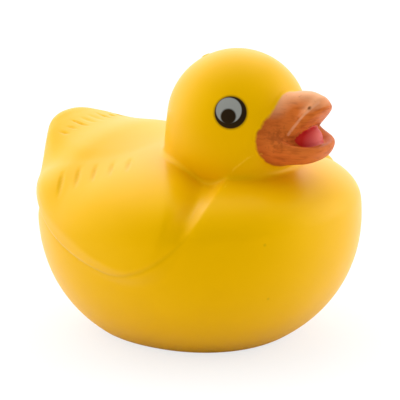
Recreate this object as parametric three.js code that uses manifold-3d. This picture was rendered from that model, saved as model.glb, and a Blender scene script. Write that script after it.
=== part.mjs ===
import * as THREE from 'three';
import Module from 'manifold-3d';

// A squeeze duck, moulded in one piece from soft foam with a closed skin.
// Millimetres, +X forward, +Y to the duck's left, +Z up, origin in the middle of the flat base.
// Each form is a function that says how far a point lies outside it, so forms can melt into each other
// with a fillet, as they do in the mould.

// Hull: the egg of chest and belly, tipped nose up
const HULL_LENGTH = 85;
const HULL_WIDTH = 78.6;
const HULL_BACKSET = 1.9;
const HULL_WAIST = 31.9;
const HULL_KEEL = 38.2;
const HULL_CREST = 16.4;
const HULL_FULLNESS = 2.15;
const HULL_PITCH = 5.3;

// Head and neck
const HEAD_RADIUS = 18.05;
const HEAD_FORWARD = 10.5;
const HEAD_HEIGHT = 58.1;
const NECK_FORWARD = 9;
const NECK_RADIUS = 15.4;
const NECK_DEPTH = 12;
const NECK_HEIGHT = 46.5;
const NECK_FULLNESS = 2.6;
const NECK_FILLET = 5;
const THROAT_FILLET = 2.2;

// Tail: a short upturned fan
const TAIL_REACH = 48;
const TAIL_ROOT = 33;
const TAIL_HALF_WIDTH = 15;
const TAIL_TOP = 52.1;
const TAIL_RISE = 0.3;
const TAIL_DROOP = 0.012;
const TAIL_FULLNESS = 2.4;
const TAIL_THICKNESS = 15;
const TAIL_FILLET = 9;
const TAIL_EDGE_RADIUS = 3.5;

// Wings: behind the crest of the chest the skin slopes down into a valley, drawn as an oval on the flank
const WING_TOP = 45;
const WING_FRONT = 23;
const WING_REAR = 43;
const WING_DROP = 21;
const WING_FULLNESS = 1.8;
const WING_SLANT = 1.4;
const WING_NAPE = 14;
const WING_NAPE_SPLAY = 0.33;
const WING_EDGE = 1.6;
const REAR_APRON = 7;
const NAPE_ROUND = 5;
const VALLEY_SLOPE = 0.62;
const VALLEY_DEPTH = 5;
const VALLEY_ROUND = 1.5;
const VALLEY_NAPE_DEPTH = 3.8;
const VALLEY_NAPE_FOOT = 33;
const VALLEY_NAPE_TOP = 43;
const REAR_PROUD = 0.9;
const REAR_FLARE = 3.6;
const FLARE_FOOT = 31;
const FLARE_TOP = 42;

// The folded wing and the back swell out of the valley, drawn as an oval tipped nose down
const SWELL_MIDDLE = -8;
const SWELL_HEIGHT = 44;
const SWELL_PITCH = -30;
const SWELL_FRONT = 27.5;
const SWELL_REAR = 33;
const SWELL_DROP = 14.5;
const SWELL_FULLNESS = 2.3;
const SWELL_NAPE = 2;
const SWELL_NAPE_SPLAY = 0.5;
const SWELL_SHOULDER = 4;
const SWELL_PROUD = 1.7;
const BACK_SHOULDER = 17;
const BACK_FOOT = 33;
const BACK_TOP = 52;
const BACK_PROUD = 4.7;
const BACK_FRONT = -12;
const BACK_REAR = -36;

// Feather cuts on the wing and on the rim of the tail
const WING_CUTS = 4;
const WING_CUT_REAR = -19.6;
const WING_CUT_OUT = 27.9;
const WING_CUT_STEP = 3.7;
const WING_CUT_STEP_IN = 2.4;
const WING_CUT_LEAN = 32;
const WING_CUT_LENGTH = 10;
const WING_CUT_WIDTH = 2.6;
const WING_CUT_DEPTH = 0.9;
const TAIL_CUTS = 6;
const TAIL_FAN = 58;
const TAIL_CUT_PLACE = 9.6;
const TAIL_CUT_LENGTH = 5;
const TAIL_CUT_WIDTH = 1.6;
const TAIL_CUT_DEPTH = 0.7;

// Bill: measured from the middle of the head
const BILL_ROOT_FORWARD = 10;
const BILL_ROOT_DROP = 0.8;
const BILL_ROOT_REACH = 11.5;
const BILL_ROOT_HALF_WIDTH = 11.7;
const BILL_ROOT_HALF_HEIGHT = 9.2;
const BILL_ROOT_FULLNESS = 2.2;
const GAPE_FORWARD = 19.3;
const GAPE_HEIGHT = -2.4;
const UPPER_PITCH = 49;
const CROWN_FORWARD = 15;
const CROWN_HEIGHT = 2.9;
const CROWN_PITCH = 26;
const CROWN_REACH = 13.2;
const CROWN_HALF_WIDTH = 4.9;
const CROWN_HALF_HEIGHT = 5.5;
const CROWN_FULLNESS = 2.2;
const CROWN_EDGE_RADIUS = 0.6;
const CROWN_FILLET = 2.6;
const LIP_ROOT = 7;
const LIP_REACH = 13.2;
const LIP_HALF_WIDTH = 5.2;
const LIP_THICKNESS = 2;
const LIP_FULLNESS = 2.3;
const JAW_FORWARD = 15;
const JAW_RISE = -0.3;
const JAW_PITCH = -9;
const JAW_REACH = 13.5;
const JAW_HALF_WIDTH = 9.9;
const JAW_DEPTH = 7.4;
const JAW_HEIGHT = 8;
const JAW_FULLNESS = 2.4;
const JAW_EDGE_RADIUS = 1;
const JAW_RIM_WIDTH = 1.6;
const JAW_BOWL_DEPTH = 1.2;
const BILL_FILLET = 3;
const TONGUE_FORWARD = 21.3;
const TONGUE_SINK = 2;
const TONGUE_LENGTH = 9;
const TONGUE_WIDTH = 9.4;
const TONGUE_THICKNESS = 8.4;
const TONGUE_FULLNESS = 2;
const TONGUE_FILLET = 0.8;
const MOUTH_GAP = 0.3;
const MOUTH_FORWARD = 1;
const MOUTH_EDGE_RADIUS = 0.8;

// Skin: size of the facets
const BODY_CELL = 3.3;
const BILL_CELL = 1.2;
const FACET_ERROR = 0.11;
const SHORTEST_SPLIT = 1;
const SPLIT_PLACES = [0.5, 0.25, 0.75];
const SHORTEST_EDGE = 0.3;
const REFINE_ROUNDS = 3;
const SETTLE_ROUNDS = 4;
const SLOPE_STEP = 0.02;
const FLATTEST_SLOPE = 0.05;

// A face may turn by up to the angle with this cosine when short edges are drawn together
const TURN_COSINE = 0.2;

// The block below the base that is cut away
const FLOOR_SIDE = 200;
const FLOOR_DEPTH = 50;

const YELLOW = '#ffc400';
const SATIN = 0.45;

const degrees = THREE.MathUtils.degToRad;
const mix = THREE.MathUtils.lerp;
const smooth = (value, from, to) => THREE.MathUtils.smoothstep(value, from, to);

// The nearer of two forms, with a fillet where they meet
function melt(a, b, fillet) {
  const overlap = Math.max(fillet - Math.abs(a - b), 0);
  return Math.min(a, b) - (overlap * overlap) / (4 * fillet);
}

// The common part of two forms, with a rounded edge where they cross
function trim(a, b, round) {
  return -melt(-a, -b, round);
}

// Turns a point about the Y axis by a pitch and gives its place along and above the turned plane
function pitched(forward, up, pitch) {
  const angle = degrees(pitch);
  return {
    along: forward * Math.cos(angle) + up * Math.sin(angle),
    above: up * Math.cos(angle) - forward * Math.sin(angle),
  };
}

// Distance to an egg, given the reach along each axis and how full its corners are
function egg(x, y, z, reachX, reachY, reachZ, fullness) {
  const u = Math.abs(x) / reachX;
  const v = Math.abs(y) / reachY;
  const w = Math.abs(z) / reachZ;
  const radius = (u ** fullness + v ** fullness + w ** fullness) ** (1 / fullness);
  if (radius < 0.01) {
    return -Math.min(reachX, reachY, reachZ);
  }
  const power = fullness - 1;
  const slope = Math.hypot(
    (u / radius) ** power / reachX,
    (v / radius) ** power / reachY,
    (w / radius) ** power / reachZ,
  );
  return (radius - 1) / slope;
}

// A groove shaped like a grain of rice: its depth at a point, given the point's place along and across it
function groove(along, across, length, width, depth) {
  const spread = (2 * along / length) ** 2 + (2 * across / width) ** 2;
  return depth * Math.max(1 - spread, 0) ** 1.5;
}

function hull(x, y, z) {
  const { along, above } = pitched(x + HULL_BACKSET, z - HULL_WAIST, HULL_PITCH);
  const reachUp = above > 0 ? HULL_CREST : HULL_KEEL;
  return egg(along, y, above, HULL_LENGTH / 2, HULL_WIDTH / 2, reachUp, HULL_FULLNESS);
}

// How deep a point lies behind the slanted line where the wing runs in to the nape
function behindNape(x, y, nape, splay) {
  return (nape + splay * Math.abs(y) - x) / Math.hypot(1, splay);
}

// How far the wing stands out of the hull: negative in the valley, positive on the swell
function wing(x, y, z) {
  const up = z - WING_TOP;
  const oval = -egg(x, 0, up, x > 0 ? WING_FRONT : WING_REAR, 1, up > 0 ? 2 * WING_REAR : WING_DROP,
    x > 0 ? WING_FULLNESS : WING_SLANT);
  const inside = melt(oval, behindNape(x, y, WING_NAPE, WING_NAPE_SPLAY), NAPE_ROUND);
  const depth = mix(VALLEY_DEPTH, VALLEY_NAPE_DEPTH, smooth(z, VALLEY_NAPE_FOOT, VALLEY_NAPE_TOP));
  const ramp = melt(VALLEY_SLOPE * inside, depth, VALLEY_ROUND);
  const valley = Math.max(ramp, 0) * smooth(x, -WING_REAR / 2, WING_FRONT / 2);
  const high = smooth(z, FLARE_FOOT, FLARE_TOP);
  const flare = REAR_PROUD + REAR_FLARE * high;
  const edge = smooth(inside, -mix(WING_EDGE / 2, REAR_APRON, high), WING_EDGE / 2);
  const proud = flare * edge * smooth(-x, -WING_FRONT / 3, WING_REAR / 2);

  const { along, above } = pitched(x - SWELL_MIDDLE, z - SWELL_HEIGHT, SWELL_PITCH);
  const swellOval = -egg(along, 0, above, along > 0 ? SWELL_FRONT : SWELL_REAR, 1,
    above > 0 ? 2 * SWELL_REAR : SWELL_DROP, SWELL_FULLNESS);
  const swollen = melt(swellOval, behindNape(x, y, SWELL_NAPE, SWELL_NAPE_SPLAY), NAPE_ROUND);
  const top = smooth(z, BACK_FOOT, BACK_TOP);
  const back = top * smooth(BACK_FRONT - x, 0, BACK_FRONT - BACK_REAR);
  const swell = smooth(swollen, 0, mix(SWELL_SHOULDER, BACK_SHOULDER, top));
  return (proud - valley) * (1 - swell) + (SWELL_PROUD + BACK_PROUD * back) * swell;
}

// Soft cuts that mark the feathers on the upper part of the wing
function wingCuts(x, y, z) {
  const lean = degrees(WING_CUT_LEAN);
  let depth = 0;
  for (let i = 0; i < WING_CUTS; i += 1) {
    const forward = x - WING_CUT_REAR - i * WING_CUT_STEP;
    const outward = Math.abs(y) - WING_CUT_OUT + i * WING_CUT_STEP_IN;
    const along = forward * Math.sin(lean) + outward * Math.cos(lean);
    const across = forward * Math.cos(lean) - outward * Math.sin(lean);
    depth = Math.max(depth, groove(along, across, WING_CUT_LENGTH, WING_CUT_WIDTH, WING_CUT_DEPTH));
  }
  return z > HULL_WAIST ? depth : 0;
}

function tail(x, y, z) {
  const plan = egg(x + TAIL_ROOT, y, 0, TAIL_REACH - TAIL_ROOT, TAIL_HALF_WIDTH, 1, TAIL_FULLNESS);
  const fromRim = x + TAIL_REACH;
  const droop = TAIL_DROOP * y * y;
  const top = (z + droop - TAIL_TOP + TAIL_RISE * fromRim) / Math.hypot(1, TAIL_RISE);
  const slab = Math.max(top, -top - TAIL_THICKNESS);
  return trim(plan, slab, TAIL_EDGE_RADIUS);
}

function tailCuts(x, y) {
  let depth = 0;
  for (let i = 0; i < TAIL_CUTS; i += 1) {
    const share = (i + 0.5) / TAIL_CUTS * 2 - 1;
    const angle = degrees(TAIL_FAN) * share;
    const forward = -(x + TAIL_ROOT) * Math.cos(angle) + y * Math.sin(angle);
    const across = (x + TAIL_ROOT) * Math.sin(angle) + y * Math.cos(angle);
    const along = forward - TAIL_CUT_PLACE;
    depth = Math.max(depth, groove(along, across, TAIL_CUT_LENGTH, TAIL_CUT_WIDTH, TAIL_CUT_DEPTH));
  }
  return depth;
}

function headAndNeck(x, y, z) {
  const head = Math.hypot(x - HEAD_FORWARD, y, z - HEAD_HEIGHT) - HEAD_RADIUS;
  const neck = egg(x - NECK_FORWARD, y, z - NECK_HEIGHT, NECK_RADIUS, NECK_RADIUS, NECK_DEPTH, NECK_FULLNESS);
  return melt(head, neck, NECK_FILLET);
}

function body(x, y, z) {
  const back = melt(hull(x, y, z) - wing(x, y, z), tail(x, y, z), TAIL_FILLET);
  const cut = Math.max(wingCuts(x, y, z), z > HULL_WAIST ? tailCuts(x, y) : 0);
  return melt(back + cut, headAndNeck(x, y, z), THROAT_FILLET);
}

// Upper half of the bill: a crown over a thin flared lip, both above the pitched plane of the gape
function upperBill(forward, y, up) {
  const gape = pitched(forward - GAPE_FORWARD, up - GAPE_HEIGHT, UPPER_PITCH);
  const crownPlace = pitched(forward - CROWN_FORWARD, up - CROWN_HEIGHT, CROWN_PITCH);
  const crown = egg(crownPlace.along, y, crownPlace.above, CROWN_REACH, CROWN_HALF_WIDTH, CROWN_HALF_HEIGHT,
    CROWN_FULLNESS);
  const plan = egg(gape.along - LIP_ROOT, y, 0, LIP_REACH - LIP_ROOT, LIP_HALF_WIDTH, 1, LIP_FULLNESS);
  const plate = Math.abs(gape.above - LIP_THICKNESS / 2) - LIP_THICKNESS / 2;
  const lip = trim(plan, plate, LIP_THICKNESS / 2);
  return melt(trim(crown, -gape.above, CROWN_EDGE_RADIUS), lip, CROWN_FILLET);
}

// Lower half: a bowl with a rim, flat on top
function lowerBill(forward, y, up) {
  const { along, above } = pitched(forward - JAW_FORWARD, up - JAW_RISE, JAW_PITCH);
  const reachUp = above > 0 ? JAW_HEIGHT : JAW_DEPTH;
  const bowl = egg(along, y, above, JAW_REACH, JAW_HALF_WIDTH, reachUp, JAW_FULLNESS);
  const hollow = JAW_BOWL_DEPTH * smooth(-bowl, JAW_RIM_WIDTH / 2, 2 * JAW_RIM_WIDTH);
  return trim(bowl, above + hollow, JAW_EDGE_RADIUS);
}

// The tongue, or with a gap round it the hollow of the mouth, which opens to the front
function tongue(forward, y, up, gap) {
  return egg(forward - TONGUE_FORWARD, y, up + TONGUE_SINK, TONGUE_LENGTH / 2 + gap, TONGUE_WIDTH / 2 + gap,
    TONGUE_THICKNESS / 2 + gap, TONGUE_FULLNESS);
}

function bill(x, y, z) {
  const forward = x - HEAD_FORWARD;
  const up = z - HEAD_HEIGHT;
  const root = egg(forward - BILL_ROOT_FORWARD, y, up + BILL_ROOT_DROP, BILL_ROOT_REACH, BILL_ROOT_HALF_WIDTH,
    BILL_ROOT_HALF_HEIGHT, BILL_ROOT_FULLNESS);
  const hollow = tongue(forward - MOUTH_FORWARD, y, up, MOUTH_GAP);
  const upper = trim(melt(root, upperBill(forward, y, up), BILL_FILLET), -hollow, MOUTH_EDGE_RADIUS);
  const carved = trim(root, -hollow, MOUTH_EDGE_RADIUS);
  const lower = melt(carved, lowerBill(forward, y, up), BILL_FILLET);
  return melt(Math.min(upper, lower), tongue(forward, y, up, 0), TONGUE_FILLET);
}

// Skin
// Slope of a form at a point, by central differences
function slopeAt(form, point) {
  const { x, y, z } = point;
  return new THREE.Vector3(
    form(x + SLOPE_STEP, y, z) - form(x - SLOPE_STEP, y, z),
    form(x, y + SLOPE_STEP, z) - form(x, y - SLOPE_STEP, z),
    form(x, y, z + SLOPE_STEP) - form(x, y, z - SLOPE_STEP),
  ).divideScalar(2 * SLOPE_STEP);
}

// Moves a point onto the surface of a form
function settle(form, point, rounds) {
  for (let i = 0; i < rounds; i += 1) {
    const slope = slopeAt(form, point);
    const steep = Math.max(slope.lengthSq(), FLATTEST_SLOPE);
    point.addScaledVector(slope, -form(point.x, point.y, point.z) / steep);
  }
  return point;
}

// Wraps a form in a closed net of triangles: a point in each cell of a grid that the surface crosses,
// and two triangles across each grid edge that it crosses
function wrap(form, box, cell) {
  const cells = box.getSize(new THREE.Vector3()).divideScalar(2 * cell).ceil().addScalar(2);
  const low = box.getCenter(new THREE.Vector3()).addScaledVector(cells, -cell);
  const [nx, ny, nz] = cells.multiplyScalar(2).addScalar(1).toArray();
  const at = (i, j, k) => i + nx * (j + ny * k);
  const values = new Float64Array(nx * ny * nz);
  for (let k = 0; k < nz; k += 1) {
    for (let j = 0; j < ny; j += 1) {
      for (let i = 0; i < nx; i += 1) {
        values[at(i, j, k)] = form(low.x + i * cell, low.y + j * cell, low.z + k * cell);
      }
    }
  }
  const points = [];
  const pointOf = new Map();
  const corners = [0, 1, 2, 3, 4, 5, 6, 7].map((n) => [n & 1, (n >> 1) & 1, n >> 2]);
  for (let k = 0; k < nz - 1; k += 1) {
    for (let j = 0; j < ny - 1; j += 1) {
      for (let i = 0; i < nx - 1; i += 1) {
        const middle = new THREE.Vector3();
        let crossings = 0;
        for (let a = 0; a < 8; a += 1) {
          for (let axis = 0; axis < 3; axis += 1) {
            if (corners[a][axis] === 0) {
              const [di, dj, dk] = corners[a];
              const b = a + (1 << axis);
              const [ei, ej, ek] = corners[b];
              const va = values[at(i + di, j + dj, k + dk)];
              const vb = values[at(i + ei, j + ej, k + ek)];
              if ((va < 0) !== (vb < 0)) {
                const share = va / (va - vb);
                middle.add(new THREE.Vector3(mix(di, ei, share), mix(dj, ej, share), mix(dk, ek, share)));
                crossings += 1;
              }
            }
          }
        }
        if (crossings > 0) {
          middle.divideScalar(crossings).add(new THREE.Vector3(i, j, k)).multiplyScalar(cell).add(low);
          pointOf.set(at(i, j, k), points.length);
          points.push(settle(form, middle, SETTLE_ROUNDS));
        }
      }
    }
  }
  const faces = [];
  const step = [1, nx, nx * ny];
  for (let k = 1; k < nz - 1; k += 1) {
    for (let j = 1; j < ny - 1; j += 1) {
      for (let i = 1; i < nx - 1; i += 1) {
        const here = at(i, j, k);
        for (let axis = 0; axis < 3; axis += 1) {
          const inside = values[here] < 0;
          if (inside !== (values[here + step[axis]] < 0)) {
            const u = step[(axis + 1) % 3];
            const v = step[(axis + 2) % 3];
            const quad = [here - u - v, here - v, here, here - u].map((cellIndex) => pointOf.get(cellIndex));
            const [a, b, c, d] = inside ? quad : quad.reverse();
            if (points[a].distanceTo(points[c]) < points[b].distanceTo(points[d])) {
              faces.push([a, b, c], [a, c, d]);
            } else {
              faces.push([b, c, d], [b, d, a]);
            }
          }
        }
      }
    }
  }
  return { points, faces };
}

// Halves every edge that runs too far from the surface
function refine(form, net) {
  const { points, faces } = net;
  const middles = new Map();
  const middleOf = (a, b) => {
    const key = Math.min(a, b) * points.length + Math.max(a, b);
    return middles.get(key);
  };
  const count = points.length;
  const fresh = [];
  for (const face of faces) {
    for (let n = 0; n < 3; n += 1) {
      const a = Math.min(face[n], face[(n + 1) % 3]);
      const b = Math.max(face[n], face[(n + 1) % 3]);
      const key = a * count + b;
      if (!middles.has(key)) {
        const long = points[a].distanceTo(points[b]) > SHORTEST_SPLIT;
        const halved = long && SPLIT_PLACES.some((share) => {
          const place = points[a].clone().lerp(points[b], share);
          return settle(form, place.clone(), SETTLE_ROUNDS).distanceTo(place) > FACET_ERROR;
        });
        middles.set(key, halved ? count + fresh.length : -1);
        if (halved) {
          fresh.push(settle(form, points[a].clone().lerp(points[b], 0.5), SETTLE_ROUNDS));
        }
      }
    }
  }
  const split = [];
  for (const [a, b, c] of faces) {
    const [ab, bc, ca] = [middleOf(a, b), middleOf(b, c), middleOf(c, a)];
    const marked = [ab, bc, ca].filter((middle) => middle >= 0).length;
    if (marked === 0) {
      split.push([a, b, c]);
    } else if (marked === 3) {
      split.push([a, ab, ca], [ab, b, bc], [ca, bc, c], [ab, bc, ca]);
    } else {
      // Turned so that the first edge is halved, and with two halved edges the second one too
      let turned = [a, b, c, ab, bc];
      if (marked === 1 ? bc >= 0 : ab < 0) {
        turned = [b, c, a, bc, ca];
      } else if (marked === 1 ? ca >= 0 : bc < 0) {
        turned = [c, a, b, ca, ab];
      }
      const [p, q, r, pq, qr] = turned;
      if (marked === 1) {
        split.push([p, pq, r], [pq, q, r]);
      } else {
        split.push([pq, q, qr], [p, pq, qr], [p, qr, r]);
      }
    }
  }
  return { points: points.concat(fresh), faces: split };
}

function skin(form, box, cell) {
  let net = wrap(form, box, cell);
  for (let i = 0; i < REFINE_ROUNDS; i += 1) {
    net = refine(form, net);
  }
  return net;
}

const wasm = await Module();
wasm.setup();

function solid(net) {
  const vertProperties = new Float32Array(net.points.flatMap((point) => point.toArray()));
  const triVerts = new Uint32Array(net.faces.flat());
  return new wasm.Manifold(new wasm.Mesh({ numProp: 3, vertProperties, triVerts }));
}

const bodyBox = new THREE.Box3(
  new THREE.Vector3(-TAIL_REACH, -HULL_WIDTH / 2, HULL_WAIST - HULL_KEEL),
  new THREE.Vector3(HULL_LENGTH / 2, HULL_WIDTH / 2, HEAD_HEIGHT + HEAD_RADIUS),
);
const billFoot = -BILL_ROOT_DROP - BILL_ROOT_HALF_HEIGHT;
const billTop = CROWN_HEIGHT + BILL_ROOT_HALF_HEIGHT;
const billBox = new THREE.Box3(
  new THREE.Vector3(BILL_ROOT_FORWARD - BILL_ROOT_REACH, -BILL_ROOT_HALF_WIDTH, billFoot),
  new THREE.Vector3(JAW_FORWARD + JAW_REACH, BILL_ROOT_HALF_WIDTH, billTop),
).translate(new THREE.Vector3(HEAD_FORWARD, 0, HEAD_HEIGHT));
const bodyNet = skin(body, bodyBox, BODY_CELL);
const billNet = skin(bill, billBox, BILL_CELL);
const joined = solid(bodyNet).add(solid(billNet));
const floor = new THREE.BoxGeometry(FLOOR_SIDE, FLOOR_SIDE, FLOOR_DEPTH).translate(0, 0, -FLOOR_DEPTH / 2);
const floorNet = { points: [], faces: [] };
const corner = floor.toNonIndexed().attributes.position;
const cornerOf = new Map();
for (let i = 0; i < corner.count; i += 3) {
  const face = [];
  for (let n = 0; n < 3; n += 1) {
    const point = new THREE.Vector3().fromBufferAttribute(corner, i + n);
    const key = point.toArray().join(' ');
    if (!cornerOf.has(key)) {
      cornerOf.set(key, floorNet.points.length);
      floorNet.points.push(point);
    }
    face.push(cornerOf.get(key));
  }
  floorNet.faces.push(face);
}
const cut = joined.subtract(solid(floorNet)).getMesh();

// Draws the ends of each very short edge together, where the skin stays closed and no face turns over
function drawTogether(net) {
  const { points, faces } = net;
  const facesOf = points.map(() => new Set());
  faces.forEach((face, n) => face.forEach((point) => facesOf[point].add(n)));
  const ring = (point) => new Set([...facesOf[point]].flatMap((n) => faces[n]));
  const normal = (face, moved, place) => {
    const [p, q, r] = face.map((point) => (moved.includes(point) ? place : points[point]));
    return new THREE.Triangle(p, q, r).getNormal(new THREE.Vector3());
  };
  const turns = (face, moved, place) => {
    const before = normal(face, [], place);
    return before.dot(normal(face, moved, place)) < TURN_COSINE;
  };
  faces.forEach((start, n) => {
    for (let side = 0; side < 3 && faces[n].length > 0; side += 1) {
      const a = faces[n][side];
      const b = faces[n][(side + 1) % 3];
      if (points[a].distanceTo(points[b]) < SHORTEST_EDGE) {
        const shared = [...ring(a)].filter((point) => point !== a && point !== b && ring(b).has(point));
        const gone = [...facesOf[a]].filter((face) => facesOf[b].has(face));
        const kept = [...facesOf[a], ...facesOf[b]].filter((face) => !gone.includes(face));
        let place = points[a].clone().lerp(points[b], 0.5);
        if ((points[a].z === 0) !== (points[b].z === 0)) {
          place = points[points[a].z === 0 ? a : b].clone();
        }
        if (shared.length === 2 && !kept.some((face) => turns(faces[face], [a, b], place))) {
          points[a].copy(place);
          gone.forEach((face) => {
            faces[face].forEach((point) => facesOf[point].delete(face));
            faces[face] = [];
          });
          facesOf[b].forEach((face) => {
            faces[face] = faces[face].map((point) => (point === b ? a : point));
            facesOf[a].add(face);
          });
          facesOf[b].clear();
        }
      }
    }
  });
  const used = points.map((point, n) => n).filter((n) => facesOf[n].size > 0);
  const place = new Map(used.map((n, order) => [n, order]));
  return {
    points: used.map((n) => points[n]),
    faces: faces.filter((face) => face.length > 0).map((face) => face.map((point) => place.get(point))),
  };
}

const rough = { points: [], faces: [] };
for (let i = 0; i < cut.vertProperties.length; i += 3) {
  rough.points.push(new THREE.Vector3().fromArray(cut.vertProperties, i));
}
for (let i = 0; i < cut.triVerts.length; i += 3) {
  rough.faces.push([...cut.triVerts.slice(i, i + 3)]);
}
const net = drawTogether(rough);
const geometry = new THREE.BufferGeometry().setFromPoints(net.points);
geometry.setIndex(net.faces.flat());
geometry.computeVertexNormals();
const material = new THREE.MeshStandardMaterial({ color: YELLOW, roughness: SATIN, metalness: 0 });
const duck = new THREE.Mesh(geometry, material);
duck.name = 'duck';

export default new THREE.Group().add(duck);
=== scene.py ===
"""Looks of a squeeze duck: one piece of moulded polyurethane foam, with a painted beak and printed eyes.

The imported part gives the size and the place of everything. Its mesh is copied, remeshed finely and settled
onto a soft form: the part's own, refitted at the neck and the front of the wings, with the fine relief of
the real skin.
Sizes in the classes are millimetres: +X forward, +Y to the duck's left, +Z up, and zero in the middle of
the base.
"""

from __future__ import annotations

import logging
import math
from dataclasses import dataclass, field

import bmesh
import bpy
import numpy as np
from mathutils import Matrix, Vector


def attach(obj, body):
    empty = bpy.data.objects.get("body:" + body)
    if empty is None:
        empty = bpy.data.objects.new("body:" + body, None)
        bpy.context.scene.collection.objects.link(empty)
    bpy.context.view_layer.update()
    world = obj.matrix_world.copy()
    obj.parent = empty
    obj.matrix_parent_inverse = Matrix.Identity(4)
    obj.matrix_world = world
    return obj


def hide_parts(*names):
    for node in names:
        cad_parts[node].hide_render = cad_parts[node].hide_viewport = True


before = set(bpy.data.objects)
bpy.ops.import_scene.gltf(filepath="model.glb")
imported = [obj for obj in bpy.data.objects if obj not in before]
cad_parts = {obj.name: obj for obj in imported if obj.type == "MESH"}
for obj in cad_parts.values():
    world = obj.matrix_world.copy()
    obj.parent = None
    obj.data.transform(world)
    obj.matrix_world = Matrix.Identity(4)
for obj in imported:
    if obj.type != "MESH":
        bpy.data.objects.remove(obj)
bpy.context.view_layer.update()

LOG = logging.getLogger("duck")
MM = 0.001
SKIN_NAME = "duck_skin"
WHITE = "#ffffff"
WHOLE = (0.0, 1.0)
NOISE_DETAIL = 2.0

# The duck's right side lies this many degrees round from its front
RIGHT_SIDE = 90

# The Mix node's sockets have the same names for every kind of value, so those for colours go by number
MIX_SHARE = 0
MIX_UNDER = 6
MIX_OVER = 7
MIX_RESULT = 2

# The fullness of a plain ellipsoid, and how round a groove is across
ELLIPSOID = 2.0
GROOVE_POWER = 1.5

# Floors that keep a division from blowing up in the middle of a form
LEAST_RADIUS = 0.01
LEAST_SLOPE = 1e-4
LEAST_STEEPNESS = 0.05
LEAST_STEP = 1e-9

Array = np.ndarray
Colour = tuple[float, float, float, float]
Socket = bpy.types.NodeSocket
Tree = bpy.types.NodeTree


def linear(code: str) -> Colour:
    """Turns an sRGB hex value into the linear colour that a socket takes.

    Args:
        code: The colour as "#rrggbb".

    Returns:
        Red, green, blue and an alpha of 1, linear.
    """
    parts = [int(code[i : i + 2], 16) / 255 for i in (1, 3, 5)]
    red, green, blue = (p / 12.92 if p <= 0.04045 else ((p + 0.055) / 1.055) ** 2.4 for p in parts)
    return red, green, blue, 1.0


def smooth(value: Array, start: Array | float, end: Array | float) -> Array:
    """Rises softly from 0 at start to 1 at end.

    Args:
        value: The values to ease.
        start: Where the rise begins.
        end: Where it is complete.

    Returns:
        The eased share for each value.
    """
    share = np.clip((value - start) / (end - start), 0, 1)
    return share * share * (3 - 2 * share)


def melt(a: Array, b: Array, fillet: float) -> Array:
    """Joins two forms, with a fillet where they meet.

    Args:
        a: Distance outside the first form.
        b: Distance outside the second form.
        fillet: Width of the soft join.

    Returns:
        Distance outside the two together.
    """
    overlap = np.maximum(fillet - np.abs(a - b), 0)
    return np.minimum(a, b) - overlap * overlap / (4 * fillet)


def trim(a: Array, b: Array, rounding: float) -> Array:
    """Keeps what two forms share, with a rounded edge where they cross.

    Args:
        a: Distance outside the first form.
        b: Distance outside the second form.
        rounding: Width of the rounded edge.

    Returns:
        Distance outside the common part.
    """
    return -melt(-a, -b, rounding)


def pitched(forward: Array, up: Array, pitch: float) -> tuple[Array, Array]:
    """Turns places about the Y axis.

    Args:
        forward: Places along +X.
        up: Places along +Z.
        pitch: Degrees by which the new plane tips its front up.

    Returns:
        Places along the turned plane and above it.
    """
    angle = math.radians(pitch)
    along = forward * math.cos(angle) + up * math.sin(angle)
    above = up * math.cos(angle) - forward * math.sin(angle)
    return along, above


def egg(x: Array, y: Array, z: Array, reach: tuple[Array | float, ...], fullness: Array | float) -> Array:
    """Measures how far points lie outside an egg.

    Args:
        x: Places along X from the egg's middle.
        y: Places along Y.
        z: Places along Z.
        reach: How far the egg reaches along X, Y and Z; each is a number or an array.
        fullness: 2 for an ellipsoid, more for fuller corners.

    Returns:
        Distance outside the egg, negative inside.
    """
    u, v, w = np.abs(x) / reach[0], np.abs(y) / reach[1], np.abs(z) / reach[2]
    radius = np.maximum((u**fullness + v**fullness + w**fullness) ** (1 / fullness), LEAST_RADIUS)
    power = fullness - 1
    slope = np.sqrt(
        ((u / radius) ** power / reach[0]) ** 2
        + ((v / radius) ** power / reach[1]) ** 2
        + ((w / radius) ** power / reach[2]) ** 2
    )
    return (radius - 1) / np.maximum(slope, LEAST_SLOPE)


def groove(along: Array, across: Array, length: float, width: float, depth: float) -> Array:
    """Gives the depth of a soft groove shaped like a grain of rice.

    Args:
        along: Places along the groove from its middle.
        across: Places across it.
        length: Its whole length.
        width: Its whole width.
        depth: Its depth in the middle.

    Returns:
        Depth at each place.
    """
    spread = (2 * along / length) ** 2 + (2 * across / width) ** 2
    return depth * np.maximum(1 - spread, 0) ** GROOVE_POWER


@dataclass(frozen=True)
class Hull:
    """The egg of chest and belly, tipped nose up."""

    length: float = 85.0
    width: float = 78.6
    backset: float = 1.9
    waist: float = 31.9
    keel: float = 38.2
    crest: float = 16.4
    fullness: float = 2.15
    pitch: float = 5.3

    def distance(self, x: Array, y: Array, z: Array) -> Array:
        """Distance outside the hull."""
        along, above = pitched(x + self.backset, z - self.waist, self.pitch)
        up = np.where(above > 0, self.crest, self.keel)
        return egg(along, y, above, (self.length / 2, self.width / 2, up), self.fullness)


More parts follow.
